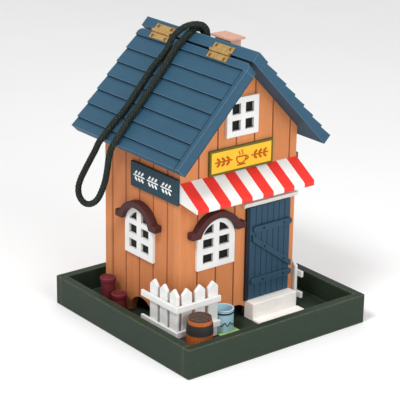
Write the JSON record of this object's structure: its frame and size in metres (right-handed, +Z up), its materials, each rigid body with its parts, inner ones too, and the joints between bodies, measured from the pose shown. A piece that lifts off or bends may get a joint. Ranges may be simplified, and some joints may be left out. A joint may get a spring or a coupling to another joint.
{
  "type": "hanging bird feeder house",
  "caption": "Wooden hanging bird feeder shaped as a small cafe: seed house on a square tray, seed arches, hinged roof lid for filling and a rope to hang it by.",
  "frame": {"origin": "middle of the tray's underside", "axes": "+Z up; -Y is the front, with the door, awning and sign; +X is to the right seen from the front"},
  "size_m": [0.22, 0.22, 0.2946],
  "materials": {
    "tray_paint": "dark green paint on wood, rubbed at the edges",
    "steel": "dull steel",
    "wall_stain": "orange-brown stain, satin",
    "roof_paint": "blue-grey satin paint",
    "brass": "rolled brass, dull",
    "chimney_wood": "bare wood",
    "rope": "braided cord, black-green with pale flecks",
    "white_paint": "white paint",
    "black_paint": "black paint",
    "maroon_paint": "maroon paint",
    "awning_paint": "red and white stripes",
    "door_paint": "dark blue paint",
    "yellow_sign_paint": "yellow paint with an olive border",
    "blue_sign_paint": "dark blue-green paint",
    "olive_sign_paint": "dark olive paint",
    "barrel_paint": "orange-brown stain",
    "barrel_lid_paint": "brown stain",
    "can_paint": "pale blue paint",
    "can_band_paint": "dark blue paint",
    "plate_paint": "light green paint",
    "red_pot_paint": "wine red paint"
  },
  "bodies": {
    "root": {"tray_floor": "tray_paint", "tray_rim_front": "tray_paint", "tray_rim_back": "tray_paint", "tray_rim_left": "tray_paint", "tray_rim_right": "tray_paint", "floor_screws": "steel", "wall_front": "wall_stain", "wall_back": "wall_stain", "wall_left": "wall_stain", "wall_right": "wall_stain", "roof_fixed_panel": "roof_paint", "roof_nails": "steel", "hinge_fixed_leaves": "brass", "hinge_pins": "brass", "hinge_screws_ridge": "brass", "chimney_stack": "chimney_wood", "chimney_cap": "chimney_wood", "chimney_nail": "steel", "rope_strand_left": "rope", "rope_strand_right": "rope", "rope_knot": "rope", "gable_window_frame": "white_paint", "gable_window_backing": "black_paint", "front_window_frame": "white_paint", "front_window_backing": "black_paint", "front_window_hood": "maroon_paint", "side_window_frame": "white_paint", "side_window_backing": "black_paint", "side_window_hood": "maroon_paint", "awning": "awning_paint", "door_lintel": "white_paint", "door_boards_slab": "door_paint", "door_jamb": "door_paint", "door_ledges": "door_paint", "door_brace": "door_paint", "door_nails": "steel", "step_block": "white_paint", "step_tread": "white_paint", "front_sign": "yellow_sign_paint", "left_sign": "blue_sign_paint", "right_sign": "olive_sign_paint", "fence_left_pickets": "white_paint", "fence_left_rails": "white_paint", "fence_front_pickets": "white_paint", "fence_front_rails": "white_paint", "fence_right_pickets": "white_paint", "fence_right_rails": "white_paint", "barrel_body": "barrel_paint", "barrel_band": "black_paint", "barrel_lid": "barrel_lid_paint", "can_body": "can_paint", "can_band": "can_band_paint", "can_plate": "plate_paint", "tall_pot": "red_pot_paint", "short_pot": "red_pot_paint"},
    "lid": {"roof_lid": "roof_paint", "hinge_lid_leaves": "brass", "hinge_screws_lid": "brass"},
    "rope_end": {"rope_loop": "rope"}
  },
  "joints": [
    {"name": "lid_hinge", "type": "hinge", "parent": "root", "child": "lid", "pos_m": [-0.0096, 0, 0.27544], "axis": [0, 1, 0], "range_deg": [0, 115], "deforming": ["rope_strand_left", "rope_strand_right"]},
    {"name": "rope_hang", "type": "hinge", "parent": "lid", "child": "rope_end", "pos_m": [-0.0985, 0.0385, 0.176], "axis": [0, 1, 0], "range_deg": [-115, 0], "deforming": ["rope_loop"]}
  ],
  "couplings": [
    {"joint": "rope_hang", "follows": "lid_hinge", "ratio": -1}
  ]
}
